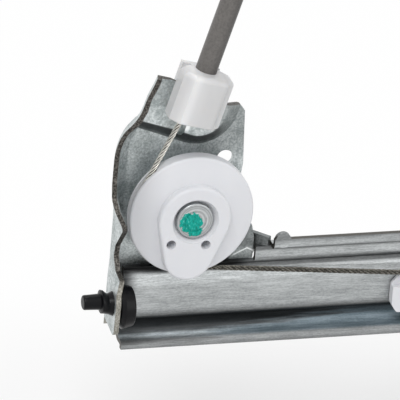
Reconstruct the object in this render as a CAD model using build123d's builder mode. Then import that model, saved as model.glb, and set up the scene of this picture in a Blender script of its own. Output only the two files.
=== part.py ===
from build123d import *
from math import acos, asin, atan2, cos, degrees, radians, sin, sqrt, tan
import os

os.makedirs("parts", exist_ok=True)

# Frame: +X along the rail, +Z up, -Y to the viewer. The origin is the near stud's axis
# at the rear face of the near bracket. "front" distances run towards the viewer from there.

# Driving dimensions, mm
sheet = 1.4
cable_d = 1.5
cable_front = 7.8
conduit_d = 5.9
conduit_bore_d = 2.1
touch = 0.3

# Rail
stud_gap = 467.0
lip_front = 9.9
lip_z = -8.6
shelf_z = -11.4
web_front = 5.4
valley_z = -17.9
valley_dip = 1.1
valley_half = 1.6
land_top_z = -16.9
land_bottom_z = -32.2
groove_front = 2.8
foot_z = -38.5
foot_lip_front = 8.3
foot_lip_z = -40.2
web_x0 = 20.5
lip_x0 = 24.3
lug_x = 26.7
lug_r = 2.2

# Cable guide
cable_r = 16.1
rim_lip = 1.3
rim_back = 5.8
rim_front = 9.7
cone_rise = 1.5
face_r = 10.2
face_front = 13.5
tongue_r = 7.0
tongue_x = -1.0
tongue_z = -10.6
groove_w = 1.9
boss_r = 8.0
out_angle = 264.8

# Guide stud
head_r = 5.2
head_front = 13.0
head_t = 1.6
seat_r = 3.3
shank_r = 3.0
shank_tail = 14.0

# Conduit end fitting
tilt = 15.0
fit_x = 0.67
fit_z = 41.4
fit_w = 14.6
fit_low = -13.0
fit_high = 1.4
fit_front = 14.6
fit_back = 5.4
fit_corner = 2.5
fit_core_w = 6.2
fit_flange_w = 11.0
fit_flange_t = 1.6
conduit_seat = -1.4
cable_gap = 0.65
knee_s = -3.4

# Bracket
pad_front = 5.4
seat_front = 4.0
flange_gap = 1.4
bend_r = 2.3
channel_w = 2.6
channel_t = 1.4
plate_bottom_z = -34.4
ear_z = -32.3

# Bump stop
stop_front = 11.2
stop_z = -24.4
stop_r = 5.2
stop_head_t = 4.2
stop_hole_r = 3.0
stop_ridge = 0.4
stop_tail_r = 1.85
stop_tail = 9.2

# Drum station
drum_z = 82.0
drum_cable_r = 25.0
near_wrap_front = 6.4
far_wrap_front = 9.2
housing_gap = 6.0
housing_wall = 2.4
housing_front = 13.4
housing_floor_t = 1.6
cover_t = 1.8
ear_gap = 5.0
ear_r = 5.5
screw_r = 2.0
spigot_r = 5.0
journal_gap = 0.05
hub_r = 8.0
shoulder_r = 10.5
shoulder_t = 1.5
sleeve_len = 16.0
sleeve_head = 4.0
sleeve_r = 4.2
tunnel_reach = 6.5
tunnel_h = 11.0
motor_hole_r = 2.75
motor_turn = 108.0
door_hole_r = 3.3
door_hole_gap = 60.0
door_hole_z = 22.0

# Conduit and cable bends
conduit_low_x = 165.0
conduit_crest = 11.0
low_bend = 62.0
high_bend = 80.0
knee_bend = 14.0
entry_bend = 20.0

# Carrier
nose_x = 60.0
slide_mid_x = 120.0
base_front = 8.4
nose_top_z = -23.5
nose_bottom_z = -33.7
block_x0 = 91.0
block_top_z = -19.5
block_bottom_z = -31.0
block_front = 12.8
nipple_x = 96.0
nipple_len = 6.0
nipple_r = 1.9
plate_t = 2.0
glass_hole_z = 38.0
glass_hole_r = 3.2
glass_end_r = 16.0
wing = 6.0

# Derived places
mid_x = stud_gap / 2
rim_r = cable_r + rim_lip
flange_x = -(rim_r + flange_gap + sheet)
rail_x0 = flange_x + sheet + bend_r
rail_length = 2 * (mid_x - rail_x0)
housing_r = drum_cable_r + housing_gap
ear_ring_r = housing_r + ear_gap
tunnel_x = mid_x - housing_r - tunnel_reach
sleeve_x = tunnel_x - sleeve_head
fit_dir = (sin(radians(tilt)), cos(radians(tilt)))


def on_fit(s, aside=0.0):
    """Point s along the fitting's axis and aside to its right, as (x, z)."""
    return (fit_x + s * fit_dir[0] + aside * fit_dir[1], fit_z + s * fit_dir[1] - aside * fit_dir[0])


# The cable bends at the knee, on the fitting's axis, and runs from there straight to the guide
knee = on_fit(knee_s)
in_angle = degrees(atan2(knee[1], knee[0]) + acos(cable_r / sqrt(knee[0] ** 2 + knee[1] ** 2)))
cable_in = (cable_r * cos(radians(in_angle)), cable_r * sin(radians(in_angle)))
cable_out = (cable_r * cos(radians(out_angle)), cable_r * sin(radians(out_angle)))
cable_mid = (
    cable_r * cos(radians((in_angle + out_angle) / 2)),
    cable_r * sin(radians((in_angle + out_angle) / 2)),
)
in_dir = (sin(radians(in_angle)), -cos(radians(in_angle)))
out_dir = (-sin(radians(out_angle)), cos(radians(out_angle)))
# How far the cable has moved aside from the fitting's axis at the fitting's lower end
mouth = fit_low - 1.0
guide_aside = (cable_in[0] - fit_x) * fit_dir[1] - (cable_in[1] - fit_z) * fit_dir[0]
guide_s = (cable_in[0] - fit_x) * fit_dir[0] + (cable_in[1] - fit_z) * fit_dir[1]
mouth_aside = guide_aside * (knee_s - mouth) / (knee_s - guide_s)
nipple_z = cable_out[1] + (nipple_x - cable_out[0]) * out_dir[1] / out_dir[0]
drum_top_z = drum_z + drum_cable_r
conduit_high = on_fit((drum_top_z + conduit_crest - fit_z) / fit_dir[1])
conduit_low = (conduit_low_x, drum_top_z)
middle = Plane.YZ.offset(mid_x)
axis_frame = Plane(
    origin=(fit_x, -cable_front, fit_z),
    x_dir=(fit_dir[1], 0, -fit_dir[0]),
    z_dir=(fit_dir[0], 0, fit_dir[1]),
)


def near_side(x, z, front=cable_front):
    """Point of the near half as a 3-D point."""
    return (x, -front, z)


# Guide rail: one roll-formed section, its upper part cut back at both ends
half = sheet / 2
with BuildPart() as guide_rail:
    with BuildSketch(Plane.YZ.offset(rail_x0)):
        with BuildLine():
            FilletPolyline(
                (half - lip_front, lip_z),
                (half - lip_front, shelf_z),
                (half - web_front, shelf_z),
                (half - web_front, valley_z + valley_half),
                (half - web_front + valley_dip, valley_z),
                (half - web_front, valley_z - valley_half),
                (half - web_front, land_bottom_z - 0.1),
                (half - groove_front, land_bottom_z - 0.9),
                (half - groove_front, foot_z),
                (half - foot_lip_front, foot_z),
                (half - foot_lip_front, foot_lip_z),
                radius=[1.4, 1.4, 1.4, 0.9, 1.4, 1.3, 0.9, 3.0, 1.1],
            )
        trace(line_width=sheet)
    extrude(amount=rail_length)
    with BuildSketch(Plane.XZ) as end_cuts:
        with Locations((rail_x0 - 1, land_top_z)):
            Rectangle(web_x0 - rail_x0 + 1, 30, align=(Align.MIN, Align.MIN))
        with Locations((web_x0 - 1, shelf_z - 1.2)):
            Rectangle(lip_x0 - web_x0 + 1, 30, align=(Align.MIN, Align.MIN))
        mirror(about=middle)
    extrude(amount=20, mode=Mode.SUBTRACT)
    with BuildSketch(Plane.XZ.offset(lip_front - sheet)):
        with Locations((lug_x, lip_z - 0.4), (stud_gap - lug_x, lip_z - 0.4)):
            Circle(lug_r)
    extrude(amount=sheet)

# End bracket: pressed sheet with a bent flange, a raised pad and a raised rail seat
left_run = [(flange_x + x, z) for x, z in [(0.3, 18.5), (2.6, 24.7), (5.8, 28.6), (7.9, 34.2), (10.3, 40.1)]]


def bracket_outline(inset, past):
    """Front outline: the left edge moved in by inset, the other edges out by past."""
    with BuildLine() as outline:
        up = Line((flange_x + inset, plate_bottom_z - past), (flange_x + inset, 13.0))
        run = Spline(
            *[(flange_x + inset, 13.0)] + [(x + inset * 0.94, z - inset * 0.3) for x, z in left_run],
            tangents=[(0, 1), (0.33, 0.94)],
        )
        top = run @ 1
        over = [((run @ 1).X + past * 0.34, (run @ 1).Y + past * 0.94)] if past else []
        Polyline(
            top,
            *over,
            (-7.6 + past, 39.1 + past),
            (8.9 + past, 30.6 + past),
            (13.8 + past, 28.6 + past),
            (15.2 + past, 26.8 + past),
            (16.0 + past, 11.0),
            (15.2 + past, 4.0),
            (19.2 + past, -9.6),
            (20.2 + past, -13.0),
            (20.2 + past, plate_bottom_z - past),
            (flange_x + inset, plate_bottom_z - past),
        )
    return make_face(outline.line)


with BuildPart() as bracket_outer:
    with BuildSketch(Plane.XZ):
        add(bracket_outline(0.0, 0.0))
    extrude(amount=18)
    rear_left = bracket_outer.edges().filter_by(
        lambda e: abs(e.center().Y) < 0.01 and e.center().X < -10 and e.center().Z > plate_bottom_z + 1
    )
    fillet(rear_left, radius=bend_r + sheet)

with BuildPart() as bracket_inner:
    with BuildSketch(Plane.XZ.offset(sheet)):
        add(bracket_outline(sheet, 6.0))
    extrude(amount=18)
    front_left = bracket_inner.edges().filter_by(
        lambda e: abs(e.center().Y + sheet) < 0.01 and e.center().X < -8 and e.center().Z > plate_bottom_z - 2
        and e.center().Z < 40
    )
    fillet(front_left, radius=bend_r)


def pad_outline(inset):
    """Foot of the raised pad, moved in by inset."""
    with BuildLine() as outline:
        FilletPolyline(
            (-30, 29.2 + 1.07 * inset),
            (10.4 - 1.05 * inset, 13.8 + 1.47 * inset),
            (15.8 - inset, 38.0 + 0.2 * inset),
            (15.8 - inset, 70),
            (-30, 70),
            radius=[0.5, 11.0 - inset, 8.0 - inset, 0.5, 0.5],
            close=True,
        )
    return make_face(outline.line)


pad_run = pad_front - sheet
side_step = sheet * tan(radians(22.5))
with BuildPart() as pad_outer:
    with BuildSketch(Plane.XZ.offset(sheet)):
        add(pad_outline(0.0))
    with BuildSketch(Plane.XZ.offset(pad_front)):
        add(pad_outline(pad_run))
    loft(ruled=True)
    with BuildSketch(Plane.XZ):
        add(pad_outline(0.0))
    extrude(amount=sheet)
    add(bracket_outer.part, mode=Mode.INTERSECT)

with BuildPart() as pad_inner:
    with BuildSketch(Plane.XZ):
        add(pad_outline(side_step))
    with BuildSketch(Plane.XZ.offset(pad_front - sheet)):
        add(pad_outline(side_step + pad_run))
    loft(ruled=True)

# Pressed channel behind the cable, from the fitting's slot down the pad's slope
channel_end = fit_low - 7.0
with BuildPart() as channel_wall:
    with BuildSketch(Plane.XZ.offset(pad_front - 3 * channel_t)):
        with BuildLine():
            half_wall = channel_w / 2 + sheet
            Polyline(
                on_fit(fit_low + 1.5, -half_wall),
                on_fit(channel_end, -half_wall),
                on_fit(channel_end, half_wall),
                on_fit(fit_low + 1.5, half_wall),
                close=True,
            )
        make_face()
    extrude(amount=2.5 * channel_t)
    add(pad_outer.part, mode=Mode.INTERSECT)

seat_rise = seat_front - sheet
with BuildPart() as seat_outer:
    with Locations((3.6, -seat_front / 2, -25.6)):
        Box(33.0, seat_front, 10.8)
    rim = seat_outer.edges().filter_by(lambda e: abs(e.center().Y + seat_front) < 0.01)
    chamfer(rim, seat_rise)
    with Locations((20.2, 0, -20)):
        Box(20, 20, 60, align=(Align.MIN, Align.CENTER, Align.CENTER), mode=Mode.SUBTRACT)

with BuildPart() as seat_inner:
    with Locations((3.6, -seat_front / 2 + sheet, -25.6)):
        Box(33.0 - 2 * side_step, seat_front, 10.8 - 2 * side_step)
    rim = seat_inner.edges().filter_by(lambda e: abs(e.center().Y + seat_front - sheet) < 0.01)
    chamfer(rim, seat_rise)

# Step that lifts the bracket's right edge to the rail's web
with BuildPart() as step_outer:
    with Locations((15.6, -seat_front / 2, -12.25)):
        Box(9.1, seat_front, 8.7)
    rim = step_outer.edges().filter_by(
        lambda e: abs(e.center().Y + seat_front) < 0.01 and (e.center().X < 12 or e.center().Z > -8.5)
    )
    chamfer(rim, seat_rise)

with BuildPart() as step_inner:
    with Locations((15.6 + side_step, -seat_front / 2 + sheet, -12.25 - side_step)):
        Box(9.1, seat_front, 8.7)
    rim = step_inner.edges().filter_by(
        lambda e: abs(e.center().Y + seat_front - sheet) < 0.01 and (e.center().X < 13 or e.center().Z > -9.5)
    )
    chamfer(rim, seat_rise)

gusset_frame = Plane(origin=(19.2, -1.6, -9.6), x_dir=(4.3, -4.8, 0), z_dir=(-4.8, -4.3, 0))
with BuildPart() as bracket_near:
    add(bracket_outer.part)
    add(bracket_inner.part, mode=Mode.SUBTRACT)
    with BuildSketch(Plane.YZ.offset(-40)):
        with BuildLine():
            FilletPolyline(
                (5.0, ear_z - 6),
                (-3.4, ear_z - 6),
                (-3.4, ear_z),
                (-14.6, ear_z),
                (-15.6, ear_z + 1.4),
                (-16.1, -22.8),
                (-14.4, -16.3),
                (-9.4, -15.6),
                (-6.6, -12.4),
                (-7.4, -8.6),
                (-13.3, -1.4),
                (-13.2, 3.6),
                (-9.4, 6.8),
                (-4.4, 9.0),
                (-4.2, 15.0),
                (-6.6, 26.0),
                (-6.6, 50),
                (5.0, 50),
                radius=[0, 0, 0.4, 0.8, 0.6, 5, 1.2, 0.8, 1.5, 1.5, 2.5, 2.5, 1.8, 1.8, 3, 4, 0, 0],
                close=True,
            )
        make_face()
    extrude(amount=80, mode=Mode.INTERSECT)
    add(pad_outer.part)
    add(pad_inner.part, mode=Mode.SUBTRACT)
    add(channel_wall.part)
    add(seat_outer.part)
    add(seat_inner.part, mode=Mode.SUBTRACT)
    add(step_outer.part)
    add(step_inner.part, mode=Mode.SUBTRACT)
    with BuildSketch(gusset_frame):
        with BuildLine():
            Polyline((-1.2, 0), (6.4, 0), (6.4, -1.3), (3.2, -2.4), (1.2, -6.8), (-1.2, -6.8), close=True)
        make_face()
    extrude(amount=-sheet)
    # Slot for the fitting's core, and the channel's hollow
    with BuildSketch(Plane.XZ):
        with BuildLine():
            Polyline(
                on_fit(12, -fit_core_w / 2 - 0.1),
                on_fit(fit_low + 4, -fit_core_w / 2 - 0.1),
                on_fit(fit_low + 4, fit_core_w / 2 + 0.1),
                on_fit(12, fit_core_w / 2 + 0.1),
                close=True,
            )
        make_face()
    extrude(amount=10, mode=Mode.SUBTRACT)
    with BuildSketch(Plane.XZ.offset(pad_front - 2 * channel_t)):
        with BuildLine():
            Polyline(
                on_fit(fit_low + 5, -channel_w / 2),
                on_fit(channel_end, -channel_w / 2),
                on_fit(channel_end, channel_w / 2),
                on_fit(fit_low + 5, channel_w / 2),
                close=True,
            )
        make_face()
    extrude(amount=6, mode=Mode.SUBTRACT)
    # Round hole, stud hole and bump stop hole
    with BuildSketch(Plane.XZ):
        with Locations((10.7, 12.9)):
            Circle(2.3)
        Circle(seat_r + journal_gap)
    extrude(amount=3, mode=Mode.SUBTRACT)
    with BuildSketch(Plane.YZ.offset(flange_x - 1)):
        with Locations((-stop_front, stop_z)):
            Circle(stop_hole_r)
    extrude(amount=4, mode=Mode.SUBTRACT)

# Cable guide: round moulding whose groove covers only the cable's own turn
with BuildPart() as cable_guide_near:
    with BuildSketch(Plane.XY):
        with BuildLine():
            Polyline(
                (0, -sheet),
                (boss_r, -sheet),
                (boss_r, -rim_back),
                (rim_r - 0.4, -rim_back),
                (rim_r, -rim_back - 0.4),
                (rim_r, -rim_front),
                (face_r, -rim_front - cone_rise),
                (0, -rim_front - cone_rise),
                close=True,
            )
        make_face()
    revolve(axis=Axis.Y)
    rounded = cable_guide_near.edges().filter_by(GeomType.CIRCLE).filter_by(
        lambda e: abs(e.radius - rim_r) < 0.01 and abs(e.center().Y + rim_front) < 0.01
    )
    fillet(rounded, radius=0.7)
    with BuildSketch(Plane.XZ.offset(rim_front)) as egg:
        Circle(face_r)
        with Locations((tongue_x, tongue_z)):
            Circle(tongue_r)
        make_hull()
    extrude(amount=face_front - rim_front)
    crest = cable_guide_near.edges().filter_by(lambda e: abs(e.center().Y + face_front) < 0.01)
    fillet(crest, radius=0.9)
    with BuildSketch(Plane.XZ.offset(cable_front - groove_w / 2)):
        with BuildLine():
            deep = cable_r - cable_d / 2 - 0.1
            t_in = (deep * cos(radians(in_angle)), deep * sin(radians(in_angle)))
            t_out = (0, -deep)
            t_mid = (cable_mid[0] * deep / cable_r, cable_mid[1] * deep / cable_r)
            far_in = (t_in[0] + 14 * in_dir[0], t_in[1] + 14 * in_dir[1])
            far_out = (20, -deep)
            Line(far_in, t_in)
            ThreePointArc(t_in, t_mid, t_out)
            Line(t_out, far_out)
            Polyline(far_out, (far_out[0], -30), (-30, -30), (-30, far_in[1]), far_in)
        make_face()
    extrude(amount=groove_w, mode=Mode.SUBTRACT)
    with BuildSketch(Plane.XY):
        with BuildLine():
            Polyline(
                (0, -head_front + head_t),
                (head_r + 0.1, -head_front + head_t),
                (head_r + 1.4, -face_front - 0.1),
                (0, -face_front - 0.1),
                close=True,
            )
        make_face()
    revolve(axis=Axis.Y, mode=Mode.SUBTRACT)
    with BuildSketch(Plane.XZ.offset(face_front + 1)):
        with Locations((-6.4, -6.5), (3.4, -7.1)):
            Circle(1.35)
    extrude(amount=-4.5, mode=Mode.SUBTRACT)
    with BuildSketch(Plane.XZ):
        Circle(seat_r + journal_gap)
    extrude(amount=20, mode=Mode.SUBTRACT)

# Guide stud: flat rivet head in front, threaded end behind
with BuildPart() as guide_stud_near:
    with BuildSketch(Plane.XY):
        with BuildLine():
            FilletPolyline(
                (0, -head_front),
                (head_r, -head_front),
                (head_r, -head_front + head_t),
                (seat_r, -head_front + head_t),
                (seat_r, 0),
                (shank_r, 0),
                (shank_r, shank_tail - 1.0),
                (shank_r - 0.8, shank_tail),
                (0, shank_tail),
                radius=[0.5, 0, 0, 0, 0.1, 0, 0],
            )
            Line((0, shank_tail), (0, -head_front))
        make_face()
    revolve(axis=Axis.Y)
    with BuildSketch(Plane.XZ.offset(head_front - 0.25)):
        Circle(3.2)
        Circle(2.6, mode=Mode.SUBTRACT)
    extrude(amount=1, mode=Mode.SUBTRACT)

# Conduit end fitting: body in front of the pad, core in the slot, flange behind
with BuildPart() as conduit_fitting_near:
    body_depth = fit_front - fit_back
    body_y = cable_front - (fit_front + fit_back) / 2
    with BuildSketch(axis_frame.offset(fit_low)) as body:
        with Locations((0, body_y)):
            Rectangle(fit_w, body_depth)
        chamfer(body.vertices(), fit_corner)
    extrude(amount=fit_high - fit_low)
    top_edges = conduit_fitting_near.faces().sort_by(Axis.Z)[-1].edges()
    fillet(top_edges, radius=1.6)
    low_edges = conduit_fitting_near.faces().filter_by(
        lambda f: abs(f.normal_at().dot(Vector(fit_dir[0], 0, fit_dir[1])) + 1) < 0.01
    ).edges()
    fillet(low_edges, radius=0.5)
    with BuildSketch(axis_frame.offset(fit_low + 4.2)):
        with Locations((0, cable_front - fit_back + sheet / 2)):
            Rectangle(fit_core_w, sheet)
    extrude(amount=9.6)
    with BuildSketch(axis_frame.offset(fit_low + 2.0)):
        with Locations((0, cable_front - fit_back + sheet + fit_flange_t / 2)):
            Rectangle(fit_flange_w, fit_flange_t)
    extrude(amount=11.8)
    with BuildSketch(axis_frame.offset(conduit_seat)):
        Circle(conduit_d / 2 + 0.05)
    extrude(amount=12, mode=Mode.SUBTRACT)
    with BuildSketch(Plane.XZ.offset(cable_front - 1.1)):
        with BuildLine():
            Polyline(
                on_fit(conduit_seat + 0.5, -cable_d / 2 - cable_gap),
                on_fit(mouth, min(mouth_aside, 0) - cable_d / 2 - cable_gap),
                on_fit(mouth, max(mouth_aside, 0) + cable_d / 2 + cable_gap),
                on_fit(conduit_seat + 0.5, cable_d / 2 + cable_gap),
                close=True,
            )
        make_face()
    extrude(amount=2.2, mode=Mode.SUBTRACT)

# Conduit: tube from the fitting over to the drum housing
with BuildPart() as conduit_near:
    with BuildLine():
        seat = on_fit(conduit_seat)
        tube = FilletPolyline(
            near_side(*seat),
            near_side(*conduit_high),
            near_side(*conduit_low),
            near_side(sleeve_x + sleeve_len - 6.0, drum_top_z),
            radius=[low_bend, high_bend],
        )
    with BuildSketch(Plane(origin=tube @ 0, z_dir=tube % 0)):
        Circle(conduit_d / 2)
        Circle(conduit_bore_d / 2, mode=Mode.SUBTRACT)
    sweep()

# Cable: nipple, guide, fitting, conduit, drum
with BuildPart() as cable_near:
    with BuildLine() as run:
        Line(near_side(nipple_x - 0.3, nipple_z), near_side(*cable_out))
        ThreePointArc(near_side(*cable_out), near_side(*cable_mid), near_side(*cable_in))
        FilletPolyline(
            near_side(*cable_in),
            near_side(*knee),
            near_side(*conduit_high),
            near_side(*conduit_low),
            near_side(sleeve_x + sleeve_len, drum_top_z),
            near_side(mid_x - 10.5, drum_top_z, near_wrap_front),
            radius=[knee_bend, low_bend, high_bend, entry_bend],
        )
    with BuildSketch(Plane(origin=run.wire() @ 0, z_dir=run.wire() % 0)):
        Circle(cable_d / 2)
    sweep()

# Bump stop: rubber head inside the flange, ridge and tail outside
with BuildPart() as bump_stop_near:
    with BuildSketch(Plane(origin=(flange_x, -stop_front, stop_z), x_dir=(1, 0, 0), z_dir=(0, -1, 0))):
        with BuildLine():
            FilletPolyline(
                (sheet + stop_head_t, 0),
                (sheet + stop_head_t, stop_r - 0.6),
                (sheet + 1.2, stop_r),
                (sheet, stop_r),
                (sheet, stop_hole_r),
                (0, stop_hole_r),
                (0, stop_hole_r + stop_ridge),
                (-1.4, stop_hole_r - 0.2),
                (-3.4, stop_hole_r - 0.3),
                (-3.7, stop_tail_r),
                (-stop_tail, stop_tail_r - 0.15),
                (-stop_tail, 0),
                radius=[0.6, 0.5, 0, 0, 0, 0, 0, 0, 0, 0.5],
            )
            Line((-stop_tail, 0), (sheet + stop_head_t, 0))
        make_face()
    revolve(axis=Axis((flange_x, -stop_front, stop_z), (1, 0, 0)))

# Drum plate: carries the drum housing, welded to the rail's groove
with BuildPart() as drum_plate:
    with BuildSketch(Plane.XZ):
        with Locations((mid_x, drum_z)):
            Circle(ear_ring_r + 7)
        with Locations((mid_x - 38, -28.5), (mid_x + 38, -28.5)):
            Circle(8)
        make_hull()
        with Locations((mid_x - door_hole_gap / 2, door_hole_z), (mid_x + door_hole_gap / 2, door_hole_z)):
            Circle(door_hole_r, mode=Mode.SUBTRACT)
        with Locations((mid_x, drum_z)):
            Circle(hub_r + 1.0, mode=Mode.SUBTRACT)
            with PolarLocations(ear_ring_r, 3, start_angle=motor_turn):
                Circle(motor_hole_r, mode=Mode.SUBTRACT)
            with PolarLocations(ear_ring_r, 3, start_angle=90):
                Circle(screw_r + 0.1, mode=Mode.SUBTRACT)
    extrude(amount=sheet)

# Drum housing: floor, wall, screw ears and the two conduit tunnels
with BuildPart() as drum_housing:
    with BuildSketch(Plane.XZ.offset(sheet)):
        with Locations((mid_x, drum_z)):
            Circle(housing_r)
            with PolarLocations(ear_ring_r, 3, start_angle=90):
                Circle(ear_r)
            with PolarLocations(housing_r - 1, 3, start_angle=90):
                Rectangle(2 * ear_gap - 2, 9)
        with Locations((mid_x, drum_top_z)):
            Rectangle(2 * (mid_x - tunnel_x), tunnel_h)
    extrude(amount=housing_front - sheet)
    with BuildSketch(Plane.XZ.offset(sheet + housing_floor_t)):
        with Locations((mid_x, drum_z)):
            Circle(housing_r - housing_wall)
    extrude(amount=housing_front, mode=Mode.SUBTRACT)
    with BuildSketch(Plane.XZ):
        with Locations((mid_x, drum_z)):
            Circle(hub_r + journal_gap)
            with PolarLocations(ear_ring_r, 3, start_angle=90):
                Circle(screw_r + 0.1)
    extrude(amount=30, mode=Mode.SUBTRACT)
    for mouth_x, way in ((tunnel_x, 1), (2 * mid_x - tunnel_x, -1)):
        with BuildSketch(Plane.YZ.offset(mouth_x)):
            with Locations((-cable_front, drum_top_z)):
                Circle(sleeve_r + 0.05)
        extrude(amount=way * (sleeve_x + sleeve_len - tunnel_x), mode=Mode.SUBTRACT)
        with BuildSketch(Plane.YZ.offset(mouth_x)):
            with Locations((-cable_front, drum_top_z)):
                Circle(2.6)
        extrude(amount=way * (mid_x - tunnel_x - 8), mode=Mode.SUBTRACT)

# Conduit sleeve: adjuster that holds the conduit's end in the tunnel
with BuildPart() as conduit_sleeve_near:
    with BuildSketch(Plane.YZ.offset(sleeve_x - sleeve_head)):
        with Locations((-cable_front, drum_top_z)):
            Circle(sleeve_r + 1.3)
    extrude(amount=2 * sleeve_head)
    with BuildSketch(Plane.YZ.offset(sleeve_x)):
        with Locations((-cable_front, drum_top_z)):
            Circle(sleeve_r)
    extrude(amount=sleeve_len)
    with BuildSketch(Plane.YZ.offset(sleeve_x - sleeve_head)):
        with Locations((-cable_front, drum_top_z)):
            Circle(conduit_d / 2 + 0.05)
    extrude(amount=sleeve_head + sleeve_len - 6, mode=Mode.SUBTRACT)
    with BuildSketch(Plane.YZ.offset(sleeve_x)):
        with Locations((-cable_front, drum_top_z)):
            Circle(conduit_bore_d / 2)
    extrude(amount=sleeve_len, mode=Mode.SUBTRACT)

# Drum cover: lid with the drum's front bearing
with BuildPart() as drum_cover:
    with BuildSketch(Plane.XZ.offset(housing_front)):
        with Locations((mid_x, drum_z)):
            Circle(housing_r)
            with PolarLocations(ear_ring_r, 3, start_angle=90):
                Circle(ear_r)
            with PolarLocations(housing_r - 1, 3, start_angle=90):
                Rectangle(2 * ear_gap - 2, 9)
        with Locations((mid_x, drum_top_z)):
            Rectangle(2 * (mid_x - tunnel_x), tunnel_h)
        with Locations((mid_x, drum_z)):
            Circle(spigot_r + journal_gap, mode=Mode.SUBTRACT)
            with PolarLocations(ear_ring_r, 3, start_angle=90):
                Circle(screw_r + 0.1, mode=Mode.SUBTRACT)
    extrude(amount=cover_t)
    with BuildSketch(Plane.XZ.offset(housing_front + cover_t)):
        with Locations((mid_x, drum_z)):
            Circle(spigot_r + 3)
            Circle(spigot_r + journal_gap, mode=Mode.SUBTRACT)
            with PolarLocations(17.5, 8):
                Rectangle(16, 1.6)
    extrude(amount=1.2)

# Cover screws: pan heads on the cover, tips at the plate's rear
cover_screws = []
for number in range(3):
    turn = radians(90 + 120 * number)
    with BuildPart() as cover_screw:
        with BuildSketch(Plane.XZ):
            with Locations((mid_x + ear_ring_r * cos(turn), drum_z + ear_ring_r * sin(turn))):
                Circle(screw_r)
        extrude(amount=housing_front + cover_t)
        with BuildSketch(Plane.XZ.offset(housing_front + cover_t)):
            with Locations((mid_x + ear_ring_r * cos(turn), drum_z + ear_ring_r * sin(turn))):
                Circle(3.8)
        extrude(amount=2.2)
        with BuildSketch(Plane.XZ.offset(housing_front + cover_t + 2.2)):
            with Locations((mid_x + ear_ring_r * cos(turn), drum_z + ear_ring_r * sin(turn))):
                RegularPolygon(radius=2.0, side_count=6)
        extrude(amount=-1.4, mode=Mode.SUBTRACT)
    cover_screws.append(cover_screw)

# Cable drum: two flanges and the cable's land round a plain bore
drum_back = sheet + housing_floor_t + touch
drum_front = housing_front - touch
with BuildPart() as cable_drum:
    with BuildSketch(Plane.XZ.offset(drum_back)):
        with Locations((mid_x, drum_z)):
            Circle(drum_cable_r + 1.9)
    extrude(amount=drum_front - drum_back)
    with BuildSketch(Plane.XZ.offset(drum_back + 1.4)):
        with Locations((mid_x, drum_z)):
            Circle(drum_cable_r + 3)
            Circle(drum_cable_r - cable_d / 2, mode=Mode.SUBTRACT)
    extrude(amount=drum_front - drum_back - 2.8, mode=Mode.SUBTRACT)
    with BuildSketch(Plane.XZ.offset(drum_back)):
        with Locations((mid_x, drum_z)):
            Circle(hub_r + journal_gap)
    extrude(amount=drum_front - drum_back, mode=Mode.SUBTRACT)
    with BuildSketch(Plane.XZ.offset(drum_front)):
        with Locations((mid_x, drum_z)):
            Circle(shoulder_r + journal_gap)
    extrude(amount=-shoulder_t, mode=Mode.SUBTRACT)

# Drum insert: hub with a splined socket behind, spigot in the cover's bearing
with BuildPart() as drum_insert:
    with BuildSketch(Plane.XZ.offset(-1.0)):
        with Locations((mid_x, drum_z)):
            Circle(hub_r)
    extrude(amount=drum_front + 1.0)
    with BuildSketch(Plane.XZ.offset(drum_front - shoulder_t)):
        with Locations((mid_x, drum_z)):
            Circle(shoulder_r)
    extrude(amount=shoulder_t)
    with BuildSketch(Plane.XZ.offset(drum_front)):
        with Locations((mid_x, drum_z)):
            Circle(spigot_r)
    extrude(amount=housing_front + cover_t - drum_front)
    with BuildSketch(Plane.XZ.offset(-1.0)):
        with Locations((mid_x, drum_z)):
            Circle(5.0)
            with PolarLocations(5.0, 8):
                Rectangle(2.0, 1.8)
    extrude(amount=11.0, mode=Mode.SUBTRACT)

# Cable wraps: the turns wound on the drum
drum_wraps = []
for wrap_front in (near_wrap_front, far_wrap_front):
    with BuildPart() as drum_wrap:
        with BuildSketch(Plane.XZ.offset(wrap_front - cable_d / 2)):
            with Locations((mid_x, drum_z)):
                Circle(drum_cable_r + cable_d / 2)
                Circle(drum_cable_r - cable_d / 2 + 0.02, mode=Mode.SUBTRACT)
        extrude(amount=cable_d)
    drum_wraps.append(drum_wrap)

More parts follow.
